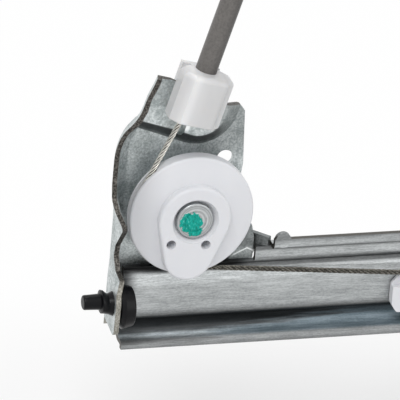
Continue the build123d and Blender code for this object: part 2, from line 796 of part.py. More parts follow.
# Carrier slider: moulded shoe with a nose at each end and hooks round both rail lips
slider_back = web_front + touch
with BuildPart() as carrier_slider:
    with BuildSketch(Plane.XZ.offset(slider_back)):
        with BuildLine():
            FilletPolyline(
                (slide_mid_x, nose_bottom_z),
                (nose_x + 1.5, nose_bottom_z),
                (nose_x, nose_bottom_z + 2.4),
                (nose_x, nose_top_z - 2.0),
                (nose_x + 1.8, nose_top_z),
                (nose_x + 9.0, nose_top_z),
                (nose_x + 14.0, -26.3),
                (block_x0 - 1, -26.3),
                (block_x0 + 1, block_top_z),
                (slide_mid_x - 15.5, block_top_z),
                (slide_mid_x - 15.5, -12.5),
                (slide_mid_x, -12.5),
                radius=[1.2, 1.2, 1.2, 1.0, 2.0, 2.0, 1.0, 1.0, 0.8, 0.4],
            )
            Line((slide_mid_x, -12.5), (slide_mid_x, nose_bottom_z))
        make_face()
    extrude(amount=base_front - slider_back)
    with BuildSketch(Plane.XZ.offset(base_front)):
        with Locations((slide_mid_x, (block_top_z + block_bottom_z) / 2)):
            Rectangle(
                slide_mid_x - block_x0 - 1, block_top_z - block_bottom_z, align=(Align.MAX, Align.CENTER)
            )
    extrude(amount=block_front - base_front)
    # Upper hook round the rail's lip
    with BuildSketch(Plane.YZ.offset(slide_mid_x - 15.5)):
        with BuildLine():
            Polyline(
                (-slider_back, -12.5),
                (-lip_front - 0.15, -12.5),
                (-lip_front - 0.15, lip_z + 0.4),
                (sheet - lip_front + 0.2, lip_z + 0.4),
                (sheet - lip_front + 0.2, -10.2),
                (sheet - lip_front + 1.4, -10.2),
                (sheet - lip_front + 1.4, lip_z + 2.2),
                (-lip_front - 1.9, lip_z + 2.2),
                (-lip_front - 1.9, -16.5),
                (-slider_back, -16.5),
                close=True,
            )
        make_face()
    extrude(amount=15.5)
    # Lower hooks round the rail's foot lip
    for hook_x, hook_len in ((slide_mid_x - 25, 16.0),):
        with BuildSketch(Plane.YZ.offset(hook_x)):
            with BuildLine():
                Polyline(
                    (-foot_lip_front - 0.15, -30.0),
                    (-foot_lip_front - 0.15, foot_lip_z - 0.3),
                    (sheet - foot_lip_front + 0.2, foot_lip_z - 0.3),
                    (sheet - foot_lip_front + 0.2, foot_z - half - 0.3),
                    (sheet - foot_lip_front + 1.7, foot_z - half - 0.3),
                    (sheet - foot_lip_front + 1.7, foot_lip_z - 2.1),
                    (-foot_lip_front - 2.0, foot_lip_z - 2.1),
                    (-foot_lip_front - 2.0, -30.0),
                    close=True,
                )
            make_face()
        extrude(amount=hook_len)
    # Channel that lets the cable pass the nose, cable slot and nipple pocket
    with BuildSketch(Plane.XZ.offset(cable_front - cable_d / 2 - 0.4)):
        with Locations((nose_x - 1, nipple_z - cable_d / 2 - 0.35)):
            Rectangle(block_x0 - nose_x + 3, 8, align=(Align.MIN, Align.MIN))
    extrude(amount=6, mode=Mode.SUBTRACT)
    with BuildSketch(Plane.XZ.offset(cable_front - 1.3)):
        with BuildLine():
            Polyline(
                (block_x0 - 4, nipple_z + 2.6),
                (nipple_x + 1, nipple_z + 1.5),
                (nipple_x + 1, nipple_z - 1.5),
                (block_x0 - 4, nipple_z - 0.9),
                close=True,
            )
        make_face()
    extrude(amount=10, mode=Mode.SUBTRACT)
    with BuildSketch(Plane.XZ):
        with Locations((nipple_x + nipple_len / 2 + 0.1, nipple_z - nipple_len * 0.045)):
            Rectangle(nipple_len + 0.4, 2 * nipple_r + 0.8)
    extrude(amount=20, mode=Mode.SUBTRACT)
    with BuildSketch(Plane.XZ):
        with Locations((slide_mid_x - 9, -25.3)):
            Circle(2.55)
    extrude(amount=20, mode=Mode.SUBTRACT)
    mirror(about=Plane.YZ.offset(slide_mid_x))

carrier_middle = Plane.YZ.offset(slide_mid_x)

# Cable nipple: barrel cast on the cable's end
with BuildPart() as cable_nipple_near:
    nipple_frame = Plane(
        origin=near_side(nipple_x, nipple_z), z_dir=(out_dir[0], 0, out_dir[1])
    )
    with BuildSketch(nipple_frame):
        Circle(nipple_r)
    extrude(amount=nipple_len)
    chamfer(cable_nipple_near.edges(), 0.3)

# Carrier plate: steel plate that takes the glass
with BuildPart() as carrier_plate:
    with BuildSketch(Plane.XZ.offset(block_front)):
        with Locations((slide_mid_x, -25.3 + glass_hole_z), (slide_mid_x, -25.3 - glass_hole_z)):
            Circle(glass_end_r)
        make_hull()
        with Locations((slide_mid_x, -25.3)):
            Rectangle(2 * (glass_end_r + wing), glass_end_r)
        fillet(
            [v for v in vertices() if abs(abs(v.X - slide_mid_x) - glass_end_r - wing) < 0.1],
            radius=wing - 2,
        )
        with Locations((slide_mid_x, -25.3 + glass_hole_z), (slide_mid_x, -25.3 - glass_hole_z)):
            Circle(6.0, mode=Mode.SUBTRACT)
        with Locations((slide_mid_x - 9, -25.3), (slide_mid_x + 9, -25.3)):
            Circle(2.55, mode=Mode.SUBTRACT)
    extrude(amount=plate_t)
    # Stiffening beads
    with BuildSketch(Plane.XZ.offset(block_front + plate_t)):
        with Locations((slide_mid_x - 11, -25.3 + 19), (slide_mid_x + 11, -25.3 + 19),
                       (slide_mid_x - 11, -25.3 - 19), (slide_mid_x + 11, -25.3 - 19)):
            SlotOverall(20, 3.4, rotation=90)
    extrude(amount=1.0)
    beads = carrier_plate.edges().filter_by(
        lambda e: abs(e.center().Y + block_front + plate_t + 1.0) < 0.01
    )
    fillet(beads, radius=0.7)

# Carrier rivets
carrier_rivets = []
for aside in (-9, 9):
    with BuildPart() as carrier_rivet:
        with BuildSketch(Plane.XZ.offset(slider_back + 0.3)):
            with Locations((slide_mid_x + aside, -25.3)):
                Circle(2.5)
        extrude(amount=block_front + plate_t - slider_back - 0.3)
        with BuildSketch(Plane.XZ.offset(block_front + plate_t)):
            with Locations((slide_mid_x + aside, -25.3)):
                Circle(4.2)
        extrude(amount=1.5)
        fillet(carrier_rivet.faces().sort_by(Axis.Y)[0].edges(), radius=0.9)
    carrier_rivets.append(carrier_rivet)

# Glass pads: plastic seats round the glass screw holes
glass_pads = []
for lift in (glass_hole_z, -glass_hole_z):
    with BuildPart() as glass_pad:
        with BuildSketch(Plane.XZ.offset(block_front)):
            with Locations((slide_mid_x, -25.3 + lift)):
                Circle(5.95)
        extrude(amount=plate_t)
        with BuildSketch(Plane.XZ.offset(block_front + plate_t)):
            with Locations((slide_mid_x, -25.3 + lift)):
                Circle(10.5)
        extrude(amount=3.0)
        fillet(glass_pad.faces().sort_by(Axis.Y)[0].edges(), radius=0.8)
        with BuildSketch(Plane.XZ.offset(block_front - 1)):
            with Locations((slide_mid_x, -25.3 + lift)):
                Circle(glass_hole_r)
        extrude(amount=10, mode=Mode.SUBTRACT)
    glass_pads.append(glass_pad)


# Far end: the near end's pieces in mirror image
with BuildPart() as bracket_far:
    add(mirror(bracket_near.part, about=middle))
with BuildPart() as cable_guide_far:
    add(mirror(cable_guide_near.part, about=middle))
with BuildPart() as guide_stud_far:
    add(mirror(guide_stud_near.part, about=middle))
with BuildPart() as conduit_fitting_far:
    add(mirror(conduit_fitting_near.part, about=middle))
with BuildPart() as conduit_far:
    add(mirror(conduit_near.part, about=middle))
with BuildPart() as bump_stop_far:
    add(mirror(bump_stop_near.part, about=middle))
with BuildPart() as conduit_sleeve_far:
    add(mirror(conduit_sleeve_near.part, about=middle))
with BuildPart() as cable_nipple_far:
    add(mirror(cable_nipple_near.part, about=carrier_middle))

# Far cable: its own route, since the carrier stands nearer the near end
far_nipple_x = 2 * slide_mid_x - nipple_x
far_run_x = stud_gap - far_nipple_x
far_angle = radians(360) + atan2(nipple_z, far_run_x) - acos(cable_r / sqrt(far_run_x**2 + nipple_z**2))
far_out = (stud_gap - cable_r * cos(far_angle), cable_r * sin(far_angle))
with BuildPart() as cable_far:
    with BuildLine() as far_run:
        Line(near_side(far_nipple_x + 0.3, nipple_z), near_side(*far_out))
        ThreePointArc(
            near_side(*far_out),
            near_side(stud_gap - cable_mid[0], cable_mid[1]),
            near_side(stud_gap - cable_in[0], cable_in[1]),
        )
        FilletPolyline(
            near_side(stud_gap - cable_in[0], cable_in[1]),
            near_side(stud_gap - knee[0], knee[1]),
            near_side(stud_gap - conduit_high[0], conduit_high[1]),
            near_side(stud_gap - conduit_low[0], conduit_low[1]),
            near_side(stud_gap - sleeve_x - sleeve_len, drum_top_z),
            near_side(mid_x + 10.5, drum_top_z, far_wrap_front),
            radius=[knee_bend, low_bend, high_bend, entry_bend],
        )
    with BuildSketch(Plane(origin=far_run.wire() @ 0, z_dir=far_run.wire() % 0)):
        Circle(cable_d / 2)
    sweep()

# Names and files
pieces = {
    "guide_rail": guide_rail,
    "bracket_near": bracket_near,
    "bracket_far": bracket_far,
    "cable_guide_near": cable_guide_near,
    "cable_guide_far": cable_guide_far,
    "guide_stud_near": guide_stud_near,
    "guide_stud_far": guide_stud_far,
    "conduit_fitting_near": conduit_fitting_near,
    "conduit_fitting_far": conduit_fitting_far,
    "conduit_near": conduit_near,
    "conduit_far": conduit_far,
    "cable_near": cable_near,
    "cable_far": cable_far,
    "bump_stop_near": bump_stop_near,
    "bump_stop_far": bump_stop_far,
    "drum_plate": drum_plate,
    "drum_housing": drum_housing,
    "drum_cover": drum_cover,
    "conduit_sleeve_near": conduit_sleeve_near,
    "conduit_sleeve_far": conduit_sleeve_far,
    "cover_screw_1": cover_screws[0],
    "cover_screw_2": cover_screws[1],
    "cover_screw_3": cover_screws[2],
    "cable_drum": cable_drum,
    "drum_insert": drum_insert,
    "drum_wrap_near": drum_wraps[0],
    "drum_wrap_far": drum_wraps[1],
    "carrier_slider": carrier_slider,
    "carrier_plate": carrier_plate,
    "carrier_rivet_near": carrier_rivets[0],
    "carrier_rivet_far": carrier_rivets[1],
    "cable_nipple_near": cable_nipple_near,
    "cable_nipple_far": cable_nipple_far,
    "glass_pad_upper": glass_pads[0],
    "glass_pad_lower": glass_pads[1],
}
for name, piece in pieces.items():
    piece.part.label = name
    export_step(piece.part, f"parts/{name}.step")
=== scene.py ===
import math

import bmesh
import bpy
import numpy as np
from mathutils import Matrix, Vector


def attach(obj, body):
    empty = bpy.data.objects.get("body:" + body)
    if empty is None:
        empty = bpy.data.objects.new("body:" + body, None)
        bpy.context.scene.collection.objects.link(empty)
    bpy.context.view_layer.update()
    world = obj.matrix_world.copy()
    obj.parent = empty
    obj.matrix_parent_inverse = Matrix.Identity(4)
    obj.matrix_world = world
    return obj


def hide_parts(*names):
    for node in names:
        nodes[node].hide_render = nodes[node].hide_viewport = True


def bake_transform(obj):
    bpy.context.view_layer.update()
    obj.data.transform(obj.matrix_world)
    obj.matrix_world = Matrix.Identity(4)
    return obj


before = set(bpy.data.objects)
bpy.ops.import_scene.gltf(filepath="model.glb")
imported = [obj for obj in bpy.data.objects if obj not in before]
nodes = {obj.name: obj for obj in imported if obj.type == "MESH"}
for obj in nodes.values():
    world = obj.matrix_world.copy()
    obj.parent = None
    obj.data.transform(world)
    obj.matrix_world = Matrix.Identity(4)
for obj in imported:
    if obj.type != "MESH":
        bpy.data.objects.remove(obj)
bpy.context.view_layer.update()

# Lengths are millimetres until a mesh is made
MM = 0.001

# Sizes shared with the CAD source; a FRONT is how far in front of y = 0 something lies
SHEET = 1.4
CABLE_D = 1.5
CABLE_FRONT = 7.8
CABLE_R = 16.1
OUT_ANGLE = 264.8
STUD_GAP = 467.0
MID_X = STUD_GAP / 2
TILT = 15.0
FIT_X = 0.67
FIT_Z = 41.4
KNEE_S = -3.4
CONDUIT_SEAT = -1.4
DRUM_TOP_Z = 107.0
CONDUIT_CREST = 11.0
CONDUIT_LOW_X = 165.0
SLEEVE_END_X = 208.0
BENDS = (14.0, 62.0, 80.0, 20.0)
NEAR_WRAP_FRONT = 6.4
FAR_WRAP_FRONT = 9.2
NIPPLE_X = 96.0
SLIDE_MID_X = 120.0
NIPPLE_GAP = 0.3
WRAP_GAP = 10.5
FLANGE_X = -20.2
RAIL_HALF = 250.0

# The flange's outer face: heights, and how far in it lies at each
FLANGE_HEIGHTS = (13.0, 18.5, 24.7, 28.6, 34.2, 40.1)
FLANGE_INSETS = (0.0, 0.3, 2.6, 5.8, 7.9, 10.3)

# The cable's strands, the steps along its path, and how far they go into the conduit
STRANDS = 5
STRAND_R = 0.23
STRAND_SIDES = 7
LAY = 7.5
ARC_POINTS = 24
GUIDE_POINTS = 60
SHOWN_STEPS = 120
FINE_STEP = 0.5
RUN_STEP = 0.6
HIDDEN_STEP = 1.5
HIDDEN_SIDES = 8
ENTRY_DEPTH = 1.0

# The bracket's flange leans outward above the guide, and its rail tab is let down
LEAN = 18.0
LEAN_LOW = -3.0
LEAN_HIGH = 9.0
EAR_LEAN = 0.22
EAR_LOW = -20.0
EAR_HIGH = -15.0
LEAN_SOFT = 1.2
TAB_X = 21.0
TAB_Z = -10.8
TAB_HEIGHT = 2.0
TAB_DROP = 1.1

# The bump stop's axis, and how its head and tail are pulled; FROM and TO count outward from the flange's face
STOP_FRONT = 11.2
STOP_Z = -24.4
STOP_TOP_Z = -19.2
STOP_IN = 0.8
HEAD_TALLER = 0.2
HEAD_DEEPER = 0.12
HEAD_FROM = -SHEET - 0.4
HEAD_TO = -SHEET + 0.2
TAIL_THICKER = 0.2
TAIL_LIFT = 0.8
TAIL_FROM = 1.2
TAIL_TO = 3.2
IN_FROM = 3.0
IN_TO = 8.0

# A reshaped copy: its points closer than this are one, and its edges past this angle are sharp
MERGE = 0.002
SHARP_ANGLE = 28.0

# Past this depth lies the front of the guide stud's head
HEAD_FACE = 12.6


class Val:
    """A value in a material or in the world; arithmetic on it adds the Math nodes."""

    def __init__(self, net, socket):
        self.net = net
        self.socket = socket

    def math(self, operation, *others):
        sockets = {0: self, **{place + 1: other for place, other in enumerate(others)}}
        return self.net.add("ShaderNodeMath", {"operation": operation}, sockets)

    def __add__(self, other):
        return self.math("ADD", other)

    def __sub__(self, other):
        return self.math("SUBTRACT", other)

    def __mul__(self, other):
        return self.math("MULTIPLY", other)

    def __truediv__(self, other):
        return self.math("DIVIDE", other)

    def __pow__(self, other):
        return self.math("POWER", other)

    def __abs__(self):
        return self.math("ABSOLUTE")

    def __neg__(self):
        return self * -1.0

    def __rsub__(self, other):
        return -self + other

    __radd__ = __add__
    __rmul__ = __mul__

    def most(self, other):
        return self.math("MAXIMUM", other)

    def least(self, other):
        return self.math("MINIMUM", other)

    def above(self, edge, soft):
        """0 below edge and 1 above it, over soft on either side."""
        return self.net.add(
            "ShaderNodeMapRange",
            {"interpolation_type": "SMOOTHSTEP"},
            {"Value": self, "From Min": edge - soft, "From Max": edge + soft},
        )

    def below(self, edge, soft):
        return 1.0 - self.above(edge, soft)

    def within(self, low, high, soft):
        return self.above(low, soft) * self.below(high, soft)


class Net:
    """The nodes of a material or of the world."""

    def __init__(self, tree):
        self.tree = tree

    def feed(self, node, key, value):
        """Gives a node's socket a Val, a colour or a number."""
        if isinstance(value, Val):
            self.tree.links.new(value.socket, node.inputs[key])
        elif isinstance(value, tuple) and node.inputs[key].type == "RGBA":
            node.inputs[key].default_value = (*value, 1)
        else:
            node.inputs[key].default_value = value

    def add(self, kind, settings=None, sockets=None, output=0):
        """Any node: its settings first, then its sockets."""
        node = self.tree.nodes.new(kind)
        for key, value in (settings or {}).items():
            if key == "stops":
                ramp = node.color_ramp.elements
                while len(ramp) < len(value):
                    ramp.new(1.0)
                for element, (place, color) in zip(ramp, value):
                    element.position = place
                    element.color = (*color, 1)
            else:
                setattr(node, key, value)
        for key, value in (sockets or {}).items():
            self.feed(node, key, value)
        return Val(self, node.outputs[output])

    def seen(self):
        """1 for what the camera sees, also in a mirror or through glass; 0 for what lights the object."""
        camera, mirror, glass = (
            self.add("ShaderNodeLightPath", output=f"Is {kind} Ray")
            for kind in ("Camera", "Glossy", "Transmission")
        )
        return camera.most(mirror).most(glass)


class Finish(Net):
    """A Principled material, with the point on the piece in mm and the face's direction for its maps."""

    def __init__(self, name, color=(0.5, 0.5, 0.5), rough=0.5, metal=0.0, **constants):
        self.material = bpy.data.materials.new(name)
        self.material.use_nodes = True
        super().__init__(self.material.node_tree)
        self.base = self.tree.nodes["Principled BSDF"]
        self.feed(self.base, "Base Color", color)
        self.feed(self.base, "Roughness", rough)
        self.feed(self.base, "Metallic", metal)
        for key, value in constants.items():
            self.feed(self.base, key.replace("_", " "), value)
        place = self.add("ShaderNodeTexCoord", output="Object")
        facing = self.add("ShaderNodeTexCoord", output="Normal")
        self.point = self.add("ShaderNodeVectorMath", {"operation": "SCALE"}, {0: place, "Scale": 1 / MM})
        self.x, self.y, self.z = (self.part(self.point, axis) for axis in range(3))
        self.nx, self.nz = (self.part(facing, axis) for axis in (0, 2))

    def part(self, vector, axis):
        """The x, y or z of a vector, for axis 0, 1 or 2."""
        return self.add("ShaderNodeSeparateXYZ", None, {0: vector}, axis)

    def stretched(self, size, seed):
        """The point over size, moved by seed so that no two noises match."""
        sizes = size if isinstance(size, tuple) else (size,) * 3
        shift = (seed, seed * 1.7, seed * 0.6)
        scale = tuple(1 / side for side in sizes)
        return self.add("ShaderNodeMapping", None, {"Vector": self.point, "Scale": scale, "Location": shift})

    def noise(self, size, detail=3.0, rough=0.6, seed=0.0):
        """Noise about 0.5 whose spots are size mm, or (x, y, z) mm."""
        sockets = {"Vector": self.stretched(size, seed), "Scale": 1.0, "Detail": detail, "Roughness": rough}
        return self.add("ShaderNodeTexNoise", None, sockets)

    def mix(self, share, first, second):
        """Colour that goes from first to second as share goes from 0 to 1."""
        return self.add("ShaderNodeMix", {"data_type": "RGBA"}, {0: share, 6: first, 7: second}, output=2)

    def ramp(self, value, stops):
        """Colour along value, whose stops are (value, colour) from the lowest up."""
        low, high = stops[0][0], stops[-1][0]
        places = [((at - low) / (high - low), color) for at, color in stops]
        return self.add("ShaderNodeValToRGB", {"stops": places}, {0: (value - low) / (high - low)})

    def grey(self, value, stops):
        """As ramp, for a number: stops are (value, number)."""
        return self.ramp(value, [(at, (level,) * 3) for at, level in stops])

    def times(self, color, value):
        """Colour made darker by value."""
        return self.add("ShaderNodeVectorMath", {"operation": "SCALE"}, {0: color, "Scale": value})

    def wear(self, color=None, rough=None, metal=None):
        """Links the maps that change over the piece."""
        for key, value in (("Base Color", color), ("Roughness", rough), ("Metallic", metal)):
            if value is not None:
                self.feed(self.base, key, value)

    def bump(self, height, depth, strength=1.0):
        """Relief from height, depth mm deep."""
        sockets = {"Height": height, "Distance": depth * MM, "Strength": strength}
        self.feed(self.base, "Normal", self.add("ShaderNodeBump", None, sockets))

    def on(self, *names):
        """Gives the finish to CAD nodes."""
        for name in names:
            data = nodes[name].data
            data.materials.clear()
            data.materials.append(self.material)


# Rail: zinc plate drawn along X, with painted shade and highlights across its folds
rail = Finish("rail_zinc", metal=1.0)
streak = rail.noise((5.5, 0.9, 0.22), detail=4.0, rough=0.65)
broad = rail.noise((14.0, 4.0, 1.8), seed=3.0)
grain = rail.noise((0.7, 0.4, 0.25), rough=0.7, seed=7.0)
sweep = rail.noise((16.0, 6.0, 0.8), detail=4.0, seed=12.0)
tone = (streak * 0.45 + broad * 0.25 + grain * 0.30).above(0.5, 0.14)
# Way down the section's front: height, then out along the foot, then down its lip
GROOVE_TOP = -33.2
GROOVE_BEND = -37.0
GROOVE_END = -42.5
FOOT_BACK = 2.8
FOOT_LONG = 5.5
out_along_foot = (-rail.y - FOOT_BACK).most(0.0).least(FOOT_LONG) * rail.z.below(GROOVE_TOP, 0.1)
down = rail.z - out_along_foot
# Painted shade and highlights down the section's front: dark in the valleys, under the land and in the
# groove; bright on the strips, the land and the foot's bend
upper = rail.grey(down, [
    (-33.3, 0.015), (-32.7, 0.03), (-32.1, 0.14), (-31.2, 0.38), (-29.8, 0.66), (-23.0, 0.72), (-21.5, 0.98),
    (-19.7, 1.0), (-19.2, 0.72), (-18.6, 0.26), (-17.9, 0.20), (-17.2, 0.34), (-16.6, 0.60), (-15.8, 0.78),
    (-14.2, 0.72), (-13.5, 0.25), (-11.5, 0.3), (-11.2, 0.76), (-10.1, 0.72), (-9.2, 0.58), (-8.7, 0.36),
    (-8.5, 0.40),
])
lower = rail.grey(down, [
    (-45.7, 0.40), (-44.9, 0.52), (-44.2, 0.18), (-43.1, 0.14), (-42.2, 0.28), (-41.2, 0.85), (-40.2, 1.35),
    (-39.5, 0.95), (-38.7, 0.24), (-37.7, 0.09), (-36.6, 0.045), (-35.0, 0.03), (-33.3, 0.012),
])
reflection_tone = rail.grey(down, [
    (-45.8, 0.30), (-44.4, 0.42), (-42.5, 0.34), (-39.0, 0.42), (-37.2, 0.34), (-35.6, 0.17), (-34.1, 0.08),
    (-33.3, 0.02),
])
# Right of a ragged, slanting front the groove gets a painted reflection of its paler surroundings
WASH_X = 34.0
WASH_SLANT = -5.0
WASH_RAGGED = 60.0
WASH_SOFT = 16.0
front = rail.x + (down - GROOVE_BEND) * WASH_SLANT + (sweep - 0.5) * WASH_RAGGED
reflection_share = front.above(WASH_X, WASH_SOFT)
low_band = rail.mix(reflection_share, lower, reflection_tone)
painted_bands = rail.mix(down.below(GROOVE_TOP - 0.1, 0.05), upper, low_band)
zinc = rail.mix(tone, (0.40, 0.42, 0.425), (0.84, 0.87, 0.875))
# The groove's zinc turns bluish, most under the painted reflection
blue = rail.mix(tone, (0.30, 0.44, 0.52), (0.66, 0.86, 1.0))
groove = down.within(GROOVE_END, GROOVE_TOP, 0.8)
zinc = rail.mix(groove * (0.25 + 0.55 * reflection_share), zinc, blue)
shaded = rail.add("ShaderNodeVectorMath", {"operation": "MULTIPLY"}, {0: zinc, 1: painted_bands})
# Painted shadow in the corner behind each ear and along the cut-back top
CORNER_WIDE = 2.6
CORNER_LOW = -31.5
CUT_BACK_LONG = 34.0
CUT_BACK_LOW = -18.4
CUT_BACK_HIGH = -16.0
from_end = RAIL_HALF - abs(rail.x - MID_X)
corner = from_end.below(CORNER_WIDE, 2.2) * rail.z.above(CORNER_LOW, 0.8)
cut_back_shadow = from_end.below(CUT_BACK_LONG, 3.0) * rail.z.above(CUT_BACK_LOW, 0.5) * rail.z.below(CUT_BACK_HIGH, 0.3)
shaded = rail.times(shaded, 1.0 - corner.most(cut_back_shadow) * 0.85)
# The ends and the top lip are sheared, so they are dark
LIP_TOP = -8.5
lip = rail.nz.above(0.85, 0.08) * rail.z.within(LIP_TOP - 0.5, LIP_TOP + 0.5, 0.15)
cut = abs(rail.nx).above(0.85, 0.1).most(lip)
rail.wear(
    color=rail.mix(cut, shaded, (0.10, 0.095, 0.085)),
    rough=0.32 + 0.20 * streak + 0.12 * grain,
    metal=1.0 - 0.75 * down.below(GROOVE_BEND, 0.8),
)
rail.bump(streak * 0.5 + grain * 0.5, 0.06, 0.6)
rail.on("guide_rail")

# Pressings: dull mottled zinc, dark sheared edges, and painted shade where the sheet turns down
sheet = Finish("sheet_zinc", metal=0.85)
patch = sheet.noise(4.5, detail=4.0)
fine = sheet.noise(0.6, rough=0.7, seed=5.0)
tone = (patch * 0.40 + fine * 0.60).above(0.5, 0.15)
outward = abs(sheet.x - MID_X)
depth = -sheet.y
deepest = FLANGE_INSETS[-1]
inset_share = sheet.grey(sheet.z, [(z, inset / deepest) for z, inset in zip(FLANGE_HEIGHTS, FLANGE_INSETS)])
flange_out = MID_X - FLANGE_X - deepest * inset_share
# The sheared edges: the flange's front, further out beside the pad, the top, and the side by the rail
EDGE_FRONT = 2.0
PAD_LIFT = 3.9
PAD_LOW = 22.0
TOP_LOW = 25.0
SIDE_X = 14.0
PALE_BELOW = -17.0
in_flange = (outward - flange_out).above(-SHEET - 0.4, 0.1)
in_front = (depth - PAD_LIFT * sheet.z.above(PAD_LOW, 1.0)).above(EDGE_FRONT, 0.1)
flange_edge = abs(sheet.nx).below(0.4, 0.1) * in_flange * in_front
top_edge = sheet.nz.above(0.75, 0.08) * sheet.z.above(TOP_LOW, 0.5)
side_edge = outward.below(MID_X - SIDE_X, 0.3) * abs(sheet.nx).above(0.85, 0.05)
# The edges are dark with pale specks, painted glints on the serration; below the ear's top the edge is paler
glint_specks = sheet.noise(0.5, rough=0.7, seed=9.0).above(0.52, 0.1)
edge_color = sheet.mix(glint_specks, (0.035, 0.032, 0.029), (0.17, 0.16, 0.145))
pale_edge = sheet.mix(glint_specks, (0.22, 0.21, 0.18), (0.42, 0.41, 0.37))
edge_color = sheet.mix(sheet.z.below(PALE_BELOW, 2.0), edge_color, pale_edge)
# Painted shade where the sheet turns down, darkest near the pad's front; above the rail, painted shade on the
# side away from the flange
WALL_X = 9.0
DULL_X = 5.0
DULL_LOW = 14.0
turned_down = (-sheet.nz).above(0.35, 0.15)
wall = sheet.grey(depth, [(0.6, 0.85), (1.8, 0.55), (2.8, 0.20), (4.6, 0.16), (5.3, 0.40)])
zinc = sheet.mix(tone, (0.33, 0.37, 0.37), (0.74, 0.78, 0.78))
zinc = sheet.times(zinc, 1.0 - turned_down * (1.0 - wall) * outward.above(MID_X - WALL_X, 3.0))
far_side_shade = sheet.z.above(DULL_LOW, 4.0) * outward.below(MID_X - DULL_X, 4.0)
zinc = sheet.times(zinc, 1.0 - 0.38 * far_side_shade)
# A bright spot beside the cable, where the pressed channel catches the light
SPOT_X, SPOT_Z = 2.2, 25.1
SPOT_WIDE, SPOT_HIGH = 1.1, 1.7
from_spot = ((outward - MID_X - SPOT_X) / SPOT_WIDE) ** 2.0 + ((sheet.z - SPOT_Z) / SPOT_HIGH) ** 2.0
spot = from_spot.below(0.8, 0.5) * depth.above(3.2, 0.6)
zinc = sheet.mix(spot, zinc, (0.95, 0.97, 0.97))
# Where the step to the rail's web is drawn: a painted highlight on the crease over the seat, and painted
# shade in the hollow above it and on the seat
STEP_X = 14.6
SEAT_X = 12.0
SEAT_LOW = -18.0
SEAT_TOP = -13.4
HOLLOW_TOP = -3.0
CREASE_X = 14.5
CREASE_TOP = -13.5
CREASE_TOP_X = 18.4
CREASE_SLOPE = 0.5
step_x = MID_X - outward
crease_z = CREASE_TOP - CREASE_SLOPE * abs(step_x - CREASE_TOP_X)
crease_highlight = abs(sheet.z - crease_z).below(0.22, 0.2) * step_x.above(CREASE_X, 0.6)
hollow_shade = sheet.z.within(SEAT_TOP, HOLLOW_TOP, 0.8) * step_x.above(STEP_X, 0.8)
seat_shade = sheet.z.within(SEAT_LOW, SEAT_TOP, 0.5) * step_x.above(SEAT_X, 1.5)
zinc = sheet.times(zinc, 1.0 - 0.62 * hollow_shade - 0.35 * seat_shade)
zinc = sheet.mix(crease_highlight, zinc, (0.90, 0.93, 0.93))
sheet.wear(
    color=sheet.mix(flange_edge.most(top_edge).most(side_edge), zinc, edge_color),
    rough=0.36 + 0.22 * fine - 0.14 * spot,
)
sheet.bump(patch * 0.4 + fine * 0.6, 0.04, 0.5)
sheet.on("drum_plate", "carrier_plate")

# White moulding of the guides and the slider
white = Finish("white_moulding", Subsurface_Weight=0.15)
white.feed(white.base, "Subsurface Radius", (0.004, 0.0035, 0.003))
# The rim is duller towards the flange, which shades it
SHADED_X = 12.0
RIM_FRONT = 13.0
beside_flange = (abs(white.x - MID_X) - MID_X).above(SHADED_X, 5.0) * (-white.y).below(RIM_FRONT, 0.8)
moulded = white.mix(white.noise(6.0), (0.67, 0.68, 0.71), (0.71, 0.715, 0.74))
moulded = white.times(moulded, 1.0 - 0.24 * beside_flange)
white.wear(color=moulded, rough=0.34 + 0.14 * white.noise(1.2, seed=2.0))
white.on("cable_guide_near", "cable_guide_far", "carrier_slider", "cable_drum", "drum_insert")

# Milky moulding of the conduit fittings
milky = Finish("milky_moulding", rough=0.28, Subsurface_Weight=0.5)
milky.feed(milky.base, "Subsurface Radius", (0.008, 0.007, 0.006))
# Across its front, painted light: a painted highlight on the left ridge, and painted shade on the milky wall
# past it
aside = abs(milky.x - MID_X) - MID_X
aside = (-aside - FIT_X) * math.cos(math.radians(TILT)) - (milky.z - FIT_Z) * math.sin(math.radians(TILT))
cloud = milky.mix(milky.noise((3.0, 3.0, 7.0)), (0.64, 0.64, 0.65), (0.70, 0.70, 0.70))
facet_shading = milky.grey(aside, [
    (-7.3, 0.912), (-6.2, 0.958), (-4.4, 1.14), (-3.6, 1.129), (-2.0, 0.980), (0.5, 0.901), (3.8, 0.878),
    (4.7, 0.787), (5.4, 0.855), (7.3, 0.980),
])
milky.wear(color=milky.times(cloud, facet_shading))
milky.on("conduit_fitting_near", "conduit_fitting_far")


# The stud head's turned rings, in radians per mm, and its dark rim
TURNING = 6.0
RIM_IN = 4.3
RIM_OUT = 4.6


def bright_steel(name):
    """Bright steel with fine wear; the marked stud adds its paint to it."""
    steel = Finish(name, metal=1.0, Specular_IOR_Level=0.2)
    wear = steel.noise(1.1)
    middle = abs(steel.x - MID_X) - MID_X
    from_axis = (middle ** 2.0 + steel.z ** 2.0) ** 0.5 + (wear - 0.5) * 0.25
    turned = (from_axis * TURNING).math("SINE") * 0.5 + 0.5
    rim = from_axis.within(RIM_IN, RIM_OUT, 0.1) * (-steel.y).above(HEAD_FACE, 0.1)
    bare = steel.mix(turned * 0.55 + wear * 0.45, (0.30, 0.315, 0.32), (0.66, 0.68, 0.685))
    bare = steel.times(bare, 1.0 - 0.45 * rim)
    steel.wear(color=bare, rough=0.24 + 0.24 * wear)
    return steel, wear, bare


steel = bright_steel("stud_steel")[0]
steel.on(
    "guide_stud_far", "cover_screw_1", "cover_screw_2", "cover_screw_3",
    "carrier_rivet_near", "carrier_rivet_far", "cable_nipple_near", "cable_nipple_far",
)

